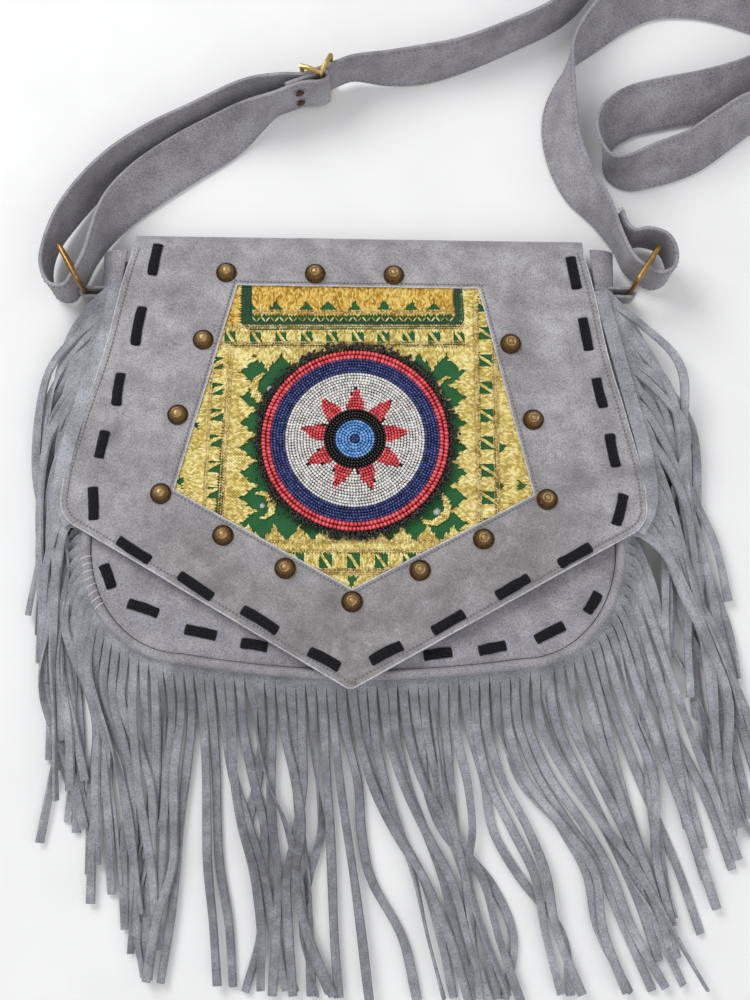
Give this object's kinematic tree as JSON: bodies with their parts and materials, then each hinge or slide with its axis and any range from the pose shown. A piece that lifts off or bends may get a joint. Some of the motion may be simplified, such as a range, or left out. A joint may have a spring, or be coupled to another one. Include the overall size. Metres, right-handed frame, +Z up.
{
  "type": "fringed crossbody bag",
  "caption": "Flat suede shoulder bag lying on its back: hinged pointed flap with a beaded rosette, studs and laced edge, long fringe, and an adjustable strap on metal rings.",
  "frame": {"origin": "on the surface the bag lies on, under the middle of the back panel", "axes": "+Y from the fringe's tips towards the fold, +X to the right as seen from above, +Z up out of the flap's face"},
  "size_m": [0.4486, 0.6038, 0.0427],
  "materials": {
    "suede": "napped, matt",
    "lining_suede": "napped, matt",
    "lining_cloth": "plain weave",
    "black_thong": "napped, matt",
    "embroidery": "metallic thread on green cloth",
    "snap_metal": "plated",
    "antique_brass": "darkened, satin",
    "pale_brass": "polished",
    "backing_felt": "felt",
    "black_beads": "opaque seed beads",
    "red_beads": "opaque seed beads",
    "navy_beads": "opaque seed beads",
    "white_beads": "opaque seed beads",
    "blue_beads": "opaque seed beads"
  },
  "bodies": {
    "bag": {"back_panel": "suede", "front_panel": "suede", "gusset": "suede", "front_welt": "suede", "lining_pouch": "lining_cloth", "front_lace": "black_thong", "snap_socket": "snap_metal", "fringe_left": "suede", "fringe_bottom": "suede", "fringe_right": "suede", "strap_tab_left": "suede", "strap_tab_right": "suede", "strap": "suede", "strap_rivet_upper": "antique_brass", "strap_rivet_lower": "antique_brass"},
    "flap": {"flap_panel": "suede", "flap_lining": "lining_suede", "embroidered_patch": "embroidery", "flap_lace": "black_thong", "snap_stud": "snap_metal", "medallion_backing": "backing_felt", "medallion_edging": "black_beads", "bead_ring_red": "red_beads", "bead_ring_navy": "navy_beads", "bead_field_white": "white_beads", "bead_star_red": "red_beads", "bead_ring_black": "black_beads", "bead_disc_blue": "blue_beads", "bead_centre": "navy_beads", "stud_01": "antique_brass", "stud_02": "antique_brass", "stud_03": "antique_brass", "stud_04": "antique_brass", "stud_05": "antique_brass", "stud_06": "antique_brass", "stud_07": "antique_brass", "stud_08": "antique_brass", "stud_09": "antique_brass", "stud_10": "antique_brass", "stud_11": "antique_brass", "stud_12": "antique_brass", "stud_13": "antique_brass", "stud_14": "antique_brass"},
    "left_ring": {"ring_left": "antique_brass"},
    "right_ring": {"ring_right": "antique_brass"},
    "slider": {"strap_slider": "pale_brass"}
  },
  "joints": [
    {"name": "flap_hinge", "type": "hinge", "parent": "bag", "child": "flap", "pos_m": [0, 0.108, 0.012], "axis": [-1, 0, 0], "range_deg": [0, 100]},
    {"name": "ring_left_swing", "type": "hinge", "parent": "bag", "child": "left_ring", "pos_m": [-0.15, 0.085, 0.0006], "axis": [0, 0, 1], "range_deg": [-5, 5]},
    {"name": "ring_right_swing", "type": "hinge", "parent": "bag", "child": "right_ring", "pos_m": [0.15, 0.089, 0.0006], "axis": [0, 0, 1], "range_deg": [-5, 5]},
    {"name": "slider_play", "type": "slide", "parent": "bag", "child": "slider", "axis": [0.9272, 0.3746, 0], "range_m": [-0.001, 0.001]}
  ]
}
